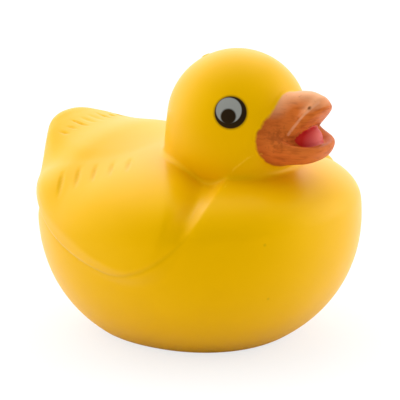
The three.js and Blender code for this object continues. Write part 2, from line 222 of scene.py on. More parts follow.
@dataclass(frozen=True)
class Wing:
    """The folded wing: a valley behind the crest of the chest, and the swell that rises out of it."""

    top: float = 45.0
    front: float = 23.0
    rear: float = 43.0
    drop: float = 21.0
    fullness: float = 1.8
    slant: float = 1.4
    nape: float = 14.0
    nape_splay: float = 0.33
    edge: float = 0.8
    crease_depth: float = 0.3
    crease_width: float = 0.5
    nape_round: float = 5.0
    valley_slope: float = 0.62
    valley_depth: float = 5.0
    valley_round: float = 0.8
    valley_rear: float = -14.0
    valley_nape_depth: float = 2.4
    valley_nape_foot: float = 33.0
    valley_nape_top: float = 43.0
    rear_proud: float = 0.9
    rear_flare: float = 3.6
    rear_apron: float = 7.0
    flare_foot: float = 31.0
    flare_top: float = 42.0
    swell_middle: float = -8.0
    swell_height: float = 44.0
    swell_pitch: float = -30.0
    swell_front: float = 30.5
    swell_rear: float = 33.0
    swell_drop: float = 18.0
    swell_fullness: float = 2.3
    swell_nape: float = 4.5
    swell_nape_splay: float = 0.5
    swell_shoulder: float = 6.0
    swell_proud: float = 1.7
    back_shoulder: float = 17.0
    back_foot: float = 33.0
    back_top: float = 52.0
    back_proud: float = 4.7
    back_front: float = -12.0
    back_rear: float = -36.0

    @staticmethod
    def behind_nape(x: Array, y: Array, nape: float, splay: float) -> Array:
        """How deep a point lies behind the slanted line where the wing runs in to the nape."""
        return (nape + splay * np.abs(y) - x) / math.hypot(1, splay)

    def cape(self, x: Array, y: Array, z: Array) -> Array:
        """How deep a point of the flank lies inside the outline of the whole wing, which is open above."""
        up = z - self.top
        reach = (
            np.where(x > 0, self.front, self.rear),
            1.0,
            np.where(up > 0, 2 * self.rear, self.drop),
        )
        oval = -egg(x, 0 * y, up, reach, np.where(x > 0, self.fullness, self.slant))
        return melt(oval, self.behind_nape(x, y, self.nape, self.nape_splay), self.nape_round)

    def crease(self, x: Array, y: Array, z: Array) -> Array:
        """Depth of the fine line that runs along the lower edge of the whole wing."""
        below = 1 - smooth(z, self.flare_foot, self.flare_top)
        return self.crease_depth * below * np.exp(-((self.cape(x, y, z) / self.crease_width) ** 2))

    def swell(self, x: Array, y: Array, z: Array) -> Array:
        """How deep a point of the flank lies inside the outline of the swell, which is open above."""
        along, above = pitched(x - self.swell_middle, z - self.swell_height, self.swell_pitch)
        reach = (
            np.where(along > 0, self.swell_front, self.swell_rear),
            1.0,
            np.where(above > 0, 2 * self.swell_rear, self.swell_drop),
        )
        oval = -egg(along, 0 * y, above, reach, self.swell_fullness)
        nape = self.behind_nape(x, y, self.swell_nape, self.swell_nape_splay)
        return melt(oval, nape, self.nape_round)

    def proud(self, x: Array, y: Array, z: Array) -> Array:
        """How far the wing stands out of the hull: negative in the valley, positive on the swell."""
        inside = self.cape(x, y, z)
        nape = smooth(z, self.valley_nape_foot, self.valley_nape_top)
        depth = self.valley_depth + (self.valley_nape_depth - self.valley_depth) * nape
        ramp = melt(self.valley_slope * inside, depth, self.valley_round)
        valley = np.maximum(ramp, 0) * smooth(x, self.valley_rear, self.front / 2)
        high = smooth(z, self.flare_foot, self.flare_top)
        flare = self.rear_proud + self.rear_flare * high
        edge = smooth(inside, -self.edge / 2 - (self.rear_apron - self.edge / 2) * high, self.edge / 2)
        rear = flare * edge * smooth(-x, -self.front / 3, self.rear / 2)
        top = smooth(z, self.back_foot, self.back_top)
        back = top * smooth(self.back_front - x, 0, self.back_front - self.back_rear)
        wide = top * smooth(-x, 2 * self.back_front, -self.back_front)
        shoulder = self.swell_shoulder + (self.back_shoulder - self.swell_shoulder) * wide
        share = smooth(self.swell(x, y, z), 0, shoulder)
        wing = (rear - valley) * (1 - share) + (self.swell_proud + self.back_proud * back) * share
        return wing - self.crease(x, y, z)


@dataclass(frozen=True)
class WingCuts:
    """Soft slanted cuts that mark the feathers on the upper part of each wing."""

    count: int = 5
    rear: float = -23.3
    rear_out: float = 30.3
    step: float = 3.7
    step_in: float = 2.4
    lean: float = 32.0
    length: float = 10.5
    width: float = 1.5
    depth: float = 0.36
    foot: float = 36.0

    def depths(self, x: Array, y: Array, z: Array) -> Array:
        """Depth of the cuts at each point."""
        out = np.abs(y)
        angle = math.radians(self.lean)
        total = np.zeros_like(x)
        for i in range(self.count):
            u = x - self.rear - i * self.step
            v = out - self.rear_out + i * self.step_in
            along = u * math.sin(angle) + v * math.cos(angle)
            across = u * math.cos(angle) - v * math.sin(angle)
            cut = groove(along, across, self.length, self.width, self.depth)
            total = np.maximum(total, np.where(z > self.foot, cut, 0))
        return total


@dataclass(frozen=True)
class Tail:
    """A short upturned fan with feather cuts along its rim."""

    reach: float = 48.0
    root: float = 33.0
    half_width: float = 15.0
    top: float = 52.1
    rise: float = 0.3
    droop: float = 0.012
    thickness: float = 15.0
    fullness: float = 2.4
    edge_radius: float = 3.5
    cuts: int = 8
    cut_place: float = -38.3
    cut_step: float = 3.26
    cut_length: float = 6.8
    outer_cut_length: float = 3.6
    outer: float = 6.0
    cut_width: float = 1.1
    cut_depth: float = 0.42

    def distance(self, x: Array, y: Array, z: Array) -> Array:
        """Distance outside the tail."""
        plan = egg(x + self.root, y, 0 * z, (self.reach - self.root, self.half_width, 1.0), self.fullness)
        rim = x + self.reach
        top = (z + self.droop * y * y - self.top + self.rise * rim) / math.hypot(1, self.rise)
        return trim(plan, np.maximum(top, -top - self.thickness), self.edge_radius)

    def depths(self, x: Array, y: Array) -> Array:
        """Depth of the feather cuts at each point."""
        total = np.zeros_like(x)
        for i in range(self.cuts):
            out = (i - (self.cuts - 1) / 2) * self.cut_step
            length = self.outer_cut_length if abs(out) > self.outer else self.cut_length
            cut = groove(x - self.cut_place, y - out, length, self.cut_width, self.cut_depth)
            total = np.maximum(total, cut)
        return total


@dataclass(frozen=True)
class HeadAndNeck:
    """The round head on a short neck."""

    radius: float = 18.05
    forward: float = 10.5
    height: float = 58.1
    neck_forward: float = 9.0
    neck_radius: float = 16.0
    neck_depth: float = 13.0
    neck_height: float = 46.5
    neck_fullness: float = 2.6
    neck_fillet: float = 5.0
    nib: tuple[float, float, float] = (2.0, -2.2, 73.4)
    nib_reach: tuple[float, float, float] = (0.9, 0.8, 1.6)
    nib_fillet: float = 0.4

    def distance(self, x: Array, y: Array, z: Array) -> Array:
        """Distance outside the head and neck."""
        head = np.sqrt((x - self.forward) ** 2 + y * y + (z - self.height) ** 2) - self.radius
        reach = (self.neck_radius, self.neck_radius, self.neck_depth)
        neck = egg(x - self.neck_forward, y, z - self.neck_height, reach, self.neck_fullness)
        flash = egg(x - self.nib[0], y - self.nib[1], z - self.nib[2], self.nib_reach, ELLIPSOID)
        return melt(melt(head, neck, self.neck_fillet), flash, self.nib_fillet)


@dataclass(frozen=True)
class Beak:
    """The open beak, measured from the middle of the head."""

    root_forward: float = 10.0
    root_drop: float = 0.8
    root_reach: tuple[float, float, float] = (11.5, 11.7, 9.2)
    root_fullness: float = 2.2
    gape_forward: float = 19.3
    gape_height: float = -2.4
    upper_pitch: float = 49.0
    crown_forward: float = 15.0
    crown_height: float = 2.9
    crown_pitch: float = 26.0
    crown_reach: tuple[float, float, float] = (13.2, 4.9, 5.5)
    crown_fullness: float = 2.2
    crown_edge_radius: float = 0.6
    crown_fillet: float = 2.6
    lip_root: float = 7.0
    lip_reach: float = 13.2
    lip_half_width: float = 5.2
    lip_thickness: float = 2.0
    lip_fullness: float = 2.3
    jaw_forward: float = 15.0
    jaw_rise: float = -0.3
    jaw_pitch: float = -9.0
    jaw_reach: float = 13.5
    jaw_half_width: float = 9.9
    jaw_depth: float = 7.4
    jaw_height: float = 8.0
    jaw_fullness: float = 2.4
    jaw_edge_radius: float = 1.0
    jaw_rim_width: float = 1.6
    jaw_bowl_depth: float = 1.2
    fillet: float = 3.0
    tongue_forward: float = 21.3
    tongue_sink: float = 2.0
    tongue_size: tuple[float, float, float] = (9.0, 9.4, 8.4)
    tongue_fillet: float = 0.6
    mouth_gap: float = 0.4
    mouth_forward: float = 1.0
    mouth_edge_radius: float = 0.8

    def upper(self, forward: Array, y: Array, up: Array) -> Array:
        """Distance outside the upper half: a crown over a thin flared lip."""
        along, above = pitched(forward - self.gape_forward, up - self.gape_height, self.upper_pitch)
        place, rise = pitched(forward - self.crown_forward, up - self.crown_height, self.crown_pitch)
        crown = egg(place, y, rise, self.crown_reach, self.crown_fullness)
        reach = (self.lip_reach - self.lip_root, self.lip_half_width, 1.0)
        plan = egg(along - self.lip_root, y, 0 * up, reach, self.lip_fullness)
        half = self.lip_thickness / 2
        lip = trim(plan, np.abs(above - half) - half, half)
        return melt(trim(crown, -above, self.crown_edge_radius), lip, self.crown_fillet)

    def lower(self, forward: Array, y: Array, up: Array) -> Array:
        """Distance outside the lower half: a bowl with a rim."""
        along, above = pitched(forward - self.jaw_forward, up - self.jaw_rise, self.jaw_pitch)
        reach = (self.jaw_reach, self.jaw_half_width, np.where(above > 0, self.jaw_height, self.jaw_depth))
        bowl = egg(along, y, above, reach, self.jaw_fullness)
        hollow = self.jaw_bowl_depth * smooth(-bowl, self.jaw_rim_width / 2, 2 * self.jaw_rim_width)
        return trim(bowl, above + hollow, self.jaw_edge_radius)

    def tongue(self, forward: Array, y: Array, up: Array, gap: float = 0.0) -> Array:
        """Distance outside the tongue, grown by a gap all round."""
        reach = tuple(size / 2 + gap for size in self.tongue_size)
        return egg(forward - self.tongue_forward, y, up + self.tongue_sink, reach, ELLIPSOID)

    def halves(self, forward: Array, y: Array, up: Array) -> Array:
        """Distance outside both halves of the beak and their root, without the tongue."""
        root = egg(forward - self.root_forward, y, up + self.root_drop, self.root_reach, self.root_fullness)
        hollow = self.tongue(forward - self.mouth_forward, y, up, self.mouth_gap)
        upper = trim(melt(root, self.upper(forward, y, up), self.fillet), -hollow, self.mouth_edge_radius)
        carved = trim(root, -hollow, self.mouth_edge_radius)
        lower = melt(carved, self.lower(forward, y, up), self.fillet)
        return np.minimum(upper, lower)


@dataclass(frozen=True)
class DuckForm:
    """The whole outer form of the duck, as distances to its parts."""

    hull: Hull = field(default_factory=Hull)
    wing: Wing = field(default_factory=Wing)
    wing_cuts: WingCuts = field(default_factory=WingCuts)
    tail: Tail = field(default_factory=Tail)
    head: HeadAndNeck = field(default_factory=HeadAndNeck)
    beak: Beak = field(default_factory=Beak)
    tail_fillet: float = 9.0
    throat_fillet: float = 1.6
    beak_fillet: float = 0.7
    base_round: float = 1.2

    def cuts(self, x: Array, y: Array, z: Array) -> Array:
        """Depth of all the feather cuts at each point."""
        tail = np.where(z > self.hull.waist, self.tail.depths(x, y), 0)
        return np.maximum(self.wing_cuts.depths(x, y, z), tail)

    def shade(self, x: Array, y: Array, z: Array) -> Array:
        """Depth of all the fine lines at each point, which sets their painted shade."""
        return np.maximum(self.cuts(x, y, z), self.wing.crease(x, y, z))

    def body(self, x: Array, y: Array, z: Array) -> Array:
        """Distance outside everything but the beak."""
        hull = self.hull.distance(x, y, z) - self.wing.proud(x, y, z)
        back = melt(hull, self.tail.distance(x, y, z), self.tail_fillet)
        return melt(back + self.cuts(x, y, z), self.head.distance(x, y, z), self.throat_fillet)

    def beak_place(self, x: Array, y: Array, z: Array) -> tuple[Array, Array, Array]:
        """Places of points as the beak measures them, from the middle of the head."""
        return x - self.head.forward, y, z - self.head.height

    def distance(self, points: Array) -> Array:
        """Distance outside the duck.

        Args:
            points: One row of x, y and z for each point.

        Returns:
            The distance for each point.
        """
        x, y, z = points.T
        place = self.beak_place(x, y, z)
        beak = melt(self.beak.halves(*place), self.beak.tongue(*place), self.beak.tongue_fillet)
        duck = melt(self.body(x, y, z), beak, self.beak_fillet)
        return trim(duck, -z, self.base_round)

    def slope(self, points: Array, step: float = 0.02) -> Array:
        """Slope of the distance at each point.

        Args:
            points: One row of x, y and z for each point.
            step: Half the distance between the samples.

        Returns:
            One row of slopes for each point.
        """
        columns = []
        for axis in range(3):
            shift = np.zeros(3)
            shift[axis] = step
            rise = self.distance(points + shift) - self.distance(points - shift)
            columns.append(rise / (2 * step))
        return np.stack(columns, axis=1)

    def settle(self, points: Array, rounds: int = 5, reach: float = 0.5) -> Array:
        """Moves points onto the surface.

        Args:
            points: One row of x, y and z for each point.
            rounds: How often to step.
            reach: The longest step.

        Returns:
            The moved points.
        """
        for _ in range(rounds):
            slope = self.slope(points)
            steep = np.maximum((slope**2).sum(axis=1), LEAST_STEEPNESS)
            step = -(self.distance(points) / steep)[:, None] * slope
            size = np.maximum(np.linalg.norm(step, axis=1), LEAST_STEP)
            points = points + step * np.minimum(1, reach / size)[:, None]
        return points


@dataclass(frozen=True)
class FoamSkin:
    """Self-skinning polyurethane foam, moulded in one shot and coloured right through.

    Its skin forms against the mould, so it looks dense and even, with a satin gloss and a faint mottle. Its
    fine
    lines get painted shade: a deeper yellow where they are deeper.
    """

    yellow: str = "#eeb700"
    deep: str = "#e8b000"
    # The colour of the painted shade in the fine lines
    shade: str = "#c99a08"
    roughness: float = 0.34
    gloss: float = 0.34
    ior: float = 1.5
    mottle_mm: float = 14.0
    grain_mm: float = 0.7
    grain_height_mm: float = 0.012
    line_shade_span_mm: tuple[float, float] = (0.05, 0.42)
    line_shade_cover: float = 0.35


@dataclass(frozen=True)
class BeakPaint:
    """Acrylic paint, brushed on by hand: matt, with streaks, thin ridges and small runs at the corner.

    It has painted shade in a band just inside its edge, where it meets the head, and a painted highlight on
    the crown.
    """

    orange: str = "#cd692c"
    # The colour of the painted highlight on the crown
    pale: str = "#f0b183"
    dark: str = "#9c4216"
    run: str = "#94421a"
    roughness: float = 0.48
    edge_noise_mm: float = 1.6
    edge_wander_mm: float = 0.6
    edge_soft_mm: float = 0.5
    streak_mm: float = 0.8
    streak_squash: tuple[float, float, float] = (0.25, 0.25, 1.0)
    streak_span: tuple[float, float] = (0.45, 0.75)
    streak_cover: float = 0.7
    # A band of painted shade just inside the paint's edge, where the beak meets the head
    shade_band_mm: float = 3.0
    shade_band_cover: float = 0.6
    crown_from_mm: float = 60.0
    crown_to_mm: float = 65.0
    crown_slopes: tuple[float, float] = (0.25, 0.95)
    crown_highlight_cover: float = 0.85
    run_mm: float = 0.9
    run_reach_mm: float = 4.8
    run_near: float = 0.45
    run_span: tuple[float, float] = (0.68, 0.9)
    run_cover: float = 0.6


@dataclass(frozen=True)
class TonguePaint:
    """The same acrylic paint in red, with a painted highlight in pink toward the front."""

    red: str = "#c41d25"
    pink_highlight: str = "#d86a6c"
    highlight_from_mm: float = 33.8
    highlight_to_mm: float = 37.4
    edge_soft_mm: float = 0.4


@dataclass(frozen=True)
class Trace:
    """A fine line along the skin, given on the duck's left and mirrored: points in millimetres."""

    name: str
    points: tuple[tuple[float, float, float], ...]
    colour: str
    half_width: float
    cover: float
    fade: float = 3.0

    def distance(self, points: Array) -> Array:
        """Distance from the line at each point.

        Args:
            points: One row of x, y and z for each point.

        Returns:
            The distance for each point.
        """
        folded = points.copy()
        folded[:, 1] = np.abs(folded[:, 1])
        nearest = np.full(len(points), np.inf)
        for start, end in zip(self.points, self.points[1:]):
            run = np.subtract(end, start)
            share = np.clip((folded - start) @ run / (run @ run), 0, 1)
            nearest = np.minimum(nearest, np.linalg.norm(folded - start - share[:, None] * run, axis=1))
        return nearest


@dataclass(frozen=True)
class Spot:
    """A small round mark with a soft edge; its place is given on the duck's left and mirrored."""

    name: str
    centre: tuple[float, float, float]
    radius: float
    colour: str
    soft: float = 0.12
    cover: float = 1.0


@dataclass(frozen=True)
class EyePrint:
    """Pad-printed ink: a dark disc that bleeds a little, a grey disc and a dark pupil, flat in the skin."""

    spots: tuple[Spot, ...] = (
        Spot("bleed", (19.3, 14.5, 64.3), 4.3, "#6e4a10", 0.35, 0.75),
        Spot("disc", (19.3, 14.5, 64.3), 4.05, "#1c1311"),
        Spot("iris", (18.85, 14.7, 64.8), 3.25, "#939692"),
        Spot("pupil", (19.0, 15.0, 63.3), 1.95, "#1a1313", 0.2),
    )


@dataclass(frozen=True)
class SkinMarks:
    """Small flaws of moulding and painting, with dots of painted shade and lines of painted highlight."""

    spots: tuple[Spot, ...] = (
        # The nostril and the two pits are small holes drawn only as dark dots: painted shade
        Spot("nostril", (35.8, 3.9, 65.9), 0.45, "#5a2a12", 0.25, 0.9),
        Spot("upper pit", (35.0, 20.9, 34.3), 0.35, "#c09410", 0.25, 0.5),
        Spot("lower pit", (34.3, 18.4, 19.4), 0.3, "#c09410", 0.25, 0.5),
        Spot("flash", (1.9, 2.3, 74.9), 0.9, "#a8b000", 0.2, 0.85),
    )
    traces: tuple[Trace, ...] = (
        # A painted highlight along the rim of the upper lip
        Trace(
            "lip_rim_highlight",
            (
                (31.0, 6.1, 58.6),
                (32.1, 5.5, 60.5),
                (33.4, 5.3, 62.2),
                (34.7, 5.0, 63.9),
                (35.8, 4.4, 65.2),
                (36.8, 3.2, 66.4),
                (37.3, 1.8, 67.2),
            ),
            "#e0a27c",
            0.16,
            0.6,
        ),
        # A painted highlight along the thin crest that runs up the neck toward the beak
        Trace(
            "neck_crest_highlight",
            (
                (20.7, 18.5, 46.1),
                (19.5, 15.2, 47.6),
                (20.4, 14.4, 49.8),
                (23.2, 12.4, 52.7),
                (26.0, 10.3, 53.7),
            ),
            "#ffd040",
            0.14,
            0.3,
        ),
    )
    corner: tuple[float, float, float] = (29.6, 8.9, 58.0)


def add_node(
    tree: Tree, kind: str, inputs: dict[str | int, object] | None = None, **settings: object
) -> bpy.types.Node:
    """Adds a node with its settings and links.

    Args:
        tree: The tree that the node goes in.
        kind: The node's type.
        inputs: A value or an output socket for each named or numbered input.
        **settings: Properties of the node.

    Returns:
        The new node.
    """
    node = tree.nodes.new(kind)
    for name, value in settings.items():
        setattr(node, name, value)
    for name, value in (inputs or {}).items():
        socket = node.inputs[name]
        if isinstance(value, Socket):
            tree.links.new(value, socket)
        else:
            socket.default_value = value
    return node


@dataclass
class DuckSkin:
    """The visible piece: the duck's whole skin, with its paint."""

    form: DuckForm = field(default_factory=DuckForm)
    foam: FoamSkin = field(default_factory=FoamSkin)
    paint: BeakPaint = field(default_factory=BeakPaint)
    tongue: TonguePaint = field(default_factory=TonguePaint)
    eye: EyePrint = field(default_factory=EyePrint)
    skin_marks: SkinMarks = field(default_factory=SkinMarks)
    weld: float = 0.005
    voxel: float = 0.57
    relax_rounds: int = 3
    relax_share: float = 0.5
    last_rounds: int = 2

    def remeshed(self, node: bpy.types.Object) -> bpy.types.Object:
        """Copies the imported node's mesh and remeshes it evenly.

        Args:
            node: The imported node.

        Returns:
            A new object with the fine mesh.
        """
        mesh = node.data.copy()
        mesh.name = SKIN_NAME
        mesh.materials.clear()
        work = bmesh.new()
        work.from_mesh(mesh)
        bmesh.ops.remove_doubles(work, verts=work.verts, dist=self.weld * MM)
        work.to_mesh(mesh)
        work.free()
        piece = bpy.data.objects.new(SKIN_NAME, mesh)
        bpy.context.scene.collection.objects.link(piece)
        remesh = piece.modifiers.new("even", "REMESH")
        remesh.mode = "VOXEL"
        remesh.voxel_size = self.voxel * MM
        bpy.context.view_layer.update()
        fine = bpy.data.meshes.new_from_object(piece.evaluated_get(bpy.context.evaluated_depsgraph_get()))
        piece.modifiers.remove(remesh)
        piece.data = fine
        bpy.data.meshes.remove(mesh)
        fine.name = SKIN_NAME
        return piece

    def sculpt(self, piece: bpy.types.Object) -> Array:
        """Settles the fine mesh onto the soft form, and evens out its vertices along the way.

        Args:
            piece: The fine mesh's object.

        Returns:
            The settled points, in millimetres.
        """
        mesh = piece.data
        coords = np.empty(len(mesh.vertices) * 3)
        mesh.vertices.foreach_get("co", coords)
        points = self.form.settle(coords.reshape(-1, 3) / MM)
        edges = np.empty(len(mesh.edges) * 2, dtype=np.int64)
        mesh.edges.foreach_get("vertices", edges)
        edges = edges.reshape(-1, 2)
        count = np.bincount(edges.ravel(), minlength=len(points))[:, None]
        share = self.relax_share
        for _ in range(self.relax_rounds):
            total = np.zeros_like(points)
            np.add.at(total, edges[:, 0], points[edges[:, 1]])
            np.add.at(total, edges[:, 1], points[edges[:, 0]])
            points = self.form.settle((1 - share) * points + share * total / count, rounds=1)
        points = self.form.settle(points, rounds=self.last_rounds)
        mesh.vertices.foreach_set("co", (points * MM).ravel())
        mesh.polygons.foreach_set("use_smooth", np.ones(len(mesh.polygons), dtype=bool))
        mesh.update()
        return points

    def mark(self, piece: bpy.types.Object, points: Array) -> None:
        """Writes how far inside each painted area every point lies, in millimetres.

        Args:
            piece: The fine mesh's object.
            points: Its points, in millimetres.
        """
        x, y, z = points.T
        place = self.form.beak_place(x, y, z)
        halves = self.form.beak.halves(*place)
        tongue = self.form.beak.tongue(*place)
        marks = {
            "beak_inside": self.form.body(x, y, z) - np.minimum(halves, tongue),
            "tongue_inside": halves - tongue,
            "line_shade_depth": self.form.shade(x, y, z),
        }
        for trace in self.skin_marks.traces:
            marks[trace.name] = trace.distance(points)
        for name, values in marks.items():
            layer = piece.data.attributes.new(name, "FLOAT", "POINT")
            layer.data.foreach_set("value", values.astype(np.float32))

    def material(self) -> bpy.types.Material:
        """Builds the skin: foam, with the beak's and the tongue's paint and the eyes' ink over it.

        Returns:
            The material.
        """
        material = bpy.data.materials.new("moulded_foam_skin")
        material.use_nodes = True
        tree = material.node_tree
        tree.nodes.clear()
        place = add_node(tree, "ShaderNodeTexCoord").outputs["Object"]
        parts = add_node(tree, "ShaderNodeSeparateXYZ", {"Vector": place}).outputs
        # Both sides are laid over each other, so one mark shows on each
        side = add_node(tree, "ShaderNodeMath", {0: parts["Y"]}, operation="ABSOLUTE").outputs[0]
        both = {"X": parts["X"], "Y": side, "Z": parts["Z"]}
        folded = add_node(tree, "ShaderNodeCombineXYZ", both).outputs[0]
        inside = self.paint_depth(tree, place)
        edge = self.paint.edge_wander_mm / 2
        limits = {"Value": inside, "From Min": edge, "From Max": edge + self.paint.edge_soft_mm}
        painted = add_node(tree, "ShaderNodeMapRange", limits).outputs[0]
        colour = self.foam_colour(tree, place)
        colour = self.coat(tree, colour, self.beak_colour(tree, place, folded, inside), painted, WHOLE)
        depth = add_node(tree, "ShaderNodeAttribute", attribute_name="tongue_inside").outputs["Fac"]
        soft = (0.0, self.tongue.edge_soft_mm)
        colour = self.coat(tree, colour, self.tongue_colour(tree, parts["X"]), depth, soft)
        colour = self.marked(tree, colour, folded)
        rough = {"Value": painted, "To Min": self.foam.roughness, "To Max": self.paint.roughness}
        roughness = add_node(tree, "ShaderNodeMapRange", rough).outputs[0]
        fine = {"Vector": place, "Scale": 1 / (self.foam.grain_mm * MM), "Detail": NOISE_DETAIL}
        grain = add_node(tree, "ShaderNodeTexNoise", fine).outputs["Fac"]
        relief = {"Height": grain, "Distance": self.foam.grain_height_mm * MM}
        normal = add_node(tree, "ShaderNodeBump", relief).outputs[0]
        # The skin's own gloss is tinted face on, so that the yellow stays pure, and white at the rims
        shader = add_node(
            tree,
            "ShaderNodeBsdfPrincipled",
            {
                "Base Color": colour,
                "Roughness": roughness,
                "Normal": normal,
                "IOR": self.foam.ior,
                "Specular IOR Level": self.foam.gloss,
                "Specular Tint": linear(self.foam.yellow),
            },
        )
        add_node(tree, "ShaderNodeOutputMaterial", {"Surface": shader.outputs[0]})
        return material

    def paint_depth(self, tree: Tree, place: Socket) -> Socket:
        """Reads the depth behind the edge of the beak's paint, and lets that edge wander as a brush does.

        Args:
            tree: The material's nodes.
            place: Object coordinates.

        Returns:
            The depth, in millimetres.
        """
        fine = {"Vector": place, "Scale": 1 / (self.paint.edge_noise_mm * MM), "Detail": NOISE_DETAIL}
        wander = add_node(tree, "ShaderNodeTexNoise", fine).outputs["Fac"]
        inside = add_node(tree, "ShaderNodeAttribute", attribute_name="beak_inside").outputs["Fac"]
        terms = {0: wander, 1: self.paint.edge_wander_mm, 2: inside}
        return add_node(tree, "ShaderNodeMath", terms, operation="MULTIPLY_ADD").outputs[0]

    def foam_colour(self, tree: Tree, place: Socket) -> Socket:
        """Mottles the foam faintly and paints shade into its fine lines.

        Args:
            tree: The material's nodes.
            place: Object coordinates.

        Returns:
            The foam's colour.
        """
        foam = self.foam
        wide = {"Vector": place, "Scale": 1 / (foam.mottle_mm * MM), "Detail": NOISE_DETAIL}
        mottle = add_node(tree, "ShaderNodeTexNoise", wide).outputs["Fac"]
        colour = self.coat(tree, linear(foam.yellow), linear(foam.deep), mottle, WHOLE)
        # Painted shade: the fine lines turn a deeper yellow as they get deeper
        depth = add_node(tree, "ShaderNodeAttribute", attribute_name="line_shade_depth").outputs["Fac"]
        return self.coat(tree, colour, linear(foam.shade), depth, foam.line_shade_span_mm, (0.0, foam.line_shade_cover))

    def beak_colour(self, tree: Tree, place: Socket, folded: Socket, inside: Socket) -> Socket:
        """Brushes the beak: streaks, painted shade where the paint starts, a painted highlight on the crown,
        and runs.

        Args:
            tree: The material's nodes.
            place: Object coordinates.
            folded: The same with both sides laid over each other.
            inside: Depth behind the edge of the paint, in millimetres.

        Returns:
            The paint's colour.
        """
        paint = self.paint
        dark = linear(paint.dark)
        squash = {0: place, 1: paint.streak_squash}
        level = add_node(tree, "ShaderNodeVectorMath", squash, operation="MULTIPLY").outputs[0]
        fine = {"Vector": level, "Scale": 1 / (paint.streak_mm * MM), "Detail": NOISE_DETAIL}
        streak = add_node(tree, "ShaderNodeTexNoise", fine).outputs["Fac"]
        streaky = (0.0, paint.streak_cover)
        colour = self.coat(tree, linear(paint.orange), dark, streak, paint.streak_span, streaky)
        # Painted shade in a band just inside the paint's edge, at the beak's root
        colour = self.coat(tree, colour, dark, inside, (0.0, paint.shade_band_mm), (paint.shade_band_cover, 0.0))
        # A painted highlight on the crown, where it is high and faces up
        crown = self.crown(tree, place)
        highlight_cover = (0.0, paint.crown_highlight_cover)
        colour = self.coat(tree, colour, linear(paint.pale), crown, paint.crown_slopes, highlight_cover)
        runs = self.runs(tree, place, folded)
        return self.coat(tree, colour, linear(paint.run), runs, paint.run_span, (0.0, paint.run_cover))

    def crown(self, tree: Tree, place: Socket) -> Socket:
        """Finds where the crown of the beak gets its painted highlight: high up and facing up.

        Args:
            tree: The material's nodes.
            place: Object coordinates.

        Returns:
            How far the skin faces up there, and 0 lower down.
        """
        normal = add_node(tree, "ShaderNodeNewGeometry").outputs["Normal"]
        up = add_node(tree, "ShaderNodeSeparateXYZ", {"Vector": normal}).outputs["Z"]
        height = add_node(tree, "ShaderNodeSeparateXYZ", {"Vector": place}).outputs["Z"]
        start, end = self.paint.crown_from_mm * MM, self.paint.crown_to_mm * MM
        limits = {"Value": height, "From Min": start, "From Max": end}
        high = add_node(tree, "ShaderNodeMapRange", limits).outputs[0]
        return add_node(tree, "ShaderNodeMath", {0: up, 1: high}, operation="MULTIPLY").outputs[0]

    def runs(self, tree: Tree, place: Socket, folded: Socket) -> Socket:
        """Makes the lumps of paint that ran together at the corner of the beak.

        Args:
            tree: The material's nodes.
            place: Object coordinates.
            folded: The same with both sides laid over each other.

        Returns:
            The lumps' height, greatest at the corner.
        """
        corner = Vector(self.skin_marks.corner) * MM
        gap = add_node(tree, "ShaderNodeVectorMath", {0: folded, 1: corner}, operation="DISTANCE")
        limits = {
            "Value": gap.outputs["Value"],
            "From Max": self.paint.run_reach_mm * MM,
            "To Min": self.paint.run_near,
            "To Max": 0.0,
        }
        near = add_node(tree, "ShaderNodeMapRange", limits).outputs[0]
        fine = {"Vector": place, "Scale": 1 / (self.paint.run_mm * MM), "Detail": NOISE_DETAIL}
        lumps = add_node(tree, "ShaderNodeTexNoise", fine).outputs["Fac"]
        return add_node(tree, "ShaderNodeMath", {0: lumps, 1: near}, operation="ADD").outputs[0]

    def tongue_colour(self, tree: Tree, forward: Socket) -> Socket:
        """Paints the tongue red, with a pink painted highlight toward its front.

        Args:
            tree: The material's nodes.
            forward: Object coordinate along X.

        Returns:
            The tongue's colour.
        """
        # A painted highlight: pink toward the front of the tongue
        span = (self.tongue.highlight_from_mm * MM, self.tongue.highlight_to_mm * MM)
        return self.coat(tree, linear(self.tongue.red), linear(self.tongue.pink_highlight), forward, span)

    def marked(self, tree: Tree, colour: Socket, folded: Socket) -> Socket:
        """Adds the painted highlights along edges and the round marks, the eyes last.

        Args:
            tree: The material's nodes.
            colour: The colour below.
            folded: Object coordinates with both sides laid over each other.

        Returns:
            The colour with all the marks.
        """
        # The traces are painted highlights along edges
        for trace in self.skin_marks.traces:
            gap = add_node(tree, "ShaderNodeAttribute", attribute_name=trace.name).outputs["Fac"]
            span = (trace.half_width, trace.fade * trace.half_width)
            colour = self.coat(tree, colour, linear(trace.colour), gap, span, (trace.cover, 0.0))
        # Round marks: the eyes' print, the flash, and dots of painted shade for the nostril and the pits
        for spot in self.skin_marks.spots + self.eye.spots:
            ends = {0: folded, 1: Vector(spot.centre) * MM}
            gap = add_node(tree, "ShaderNodeVectorMath", ends, operation="DISTANCE", label=spot.name)
            span = ((spot.radius - spot.soft) * MM, (spot.radius + spot.soft) * MM)
            cover = (spot.cover, 0.0)
            colour = self.coat(tree, colour, linear(spot.colour), gap.outputs["Value"], span, cover)
        return colour

    @staticmethod
    def coat(
        tree: Tree,
        under: Socket | Colour,
        colour: Socket | Colour,
        value: Socket,
        span: tuple[float, float],
        cover: tuple[float, float] = WHOLE,
    ) -> Socket:
        """Lays a coat of colour over another, which covers more or less as a value changes.

        Args:
            tree: The material's nodes.
            under: The colour below.
            colour: The coat's own colour.
            value: The value that the cover follows.
            span: The two values between which the cover changes.
            cover: The share covered at each of them, and beyond.

        Returns:
            The colour with the coat.
        """
        limits = {
            "Value": value,
            "From Min": span[0],
            "From Max": span[1],
            "To Min": cover[0],
            "To Max": cover[1],
        }
        share = add_node(tree, "ShaderNodeMapRange", limits).outputs[0]
        colours = {MIX_SHARE: share, MIX_UNDER: under, MIX_OVER: colour}
        return add_node(tree, "ShaderNodeMix", colours, data_type="RGBA").outputs[MIX_RESULT]

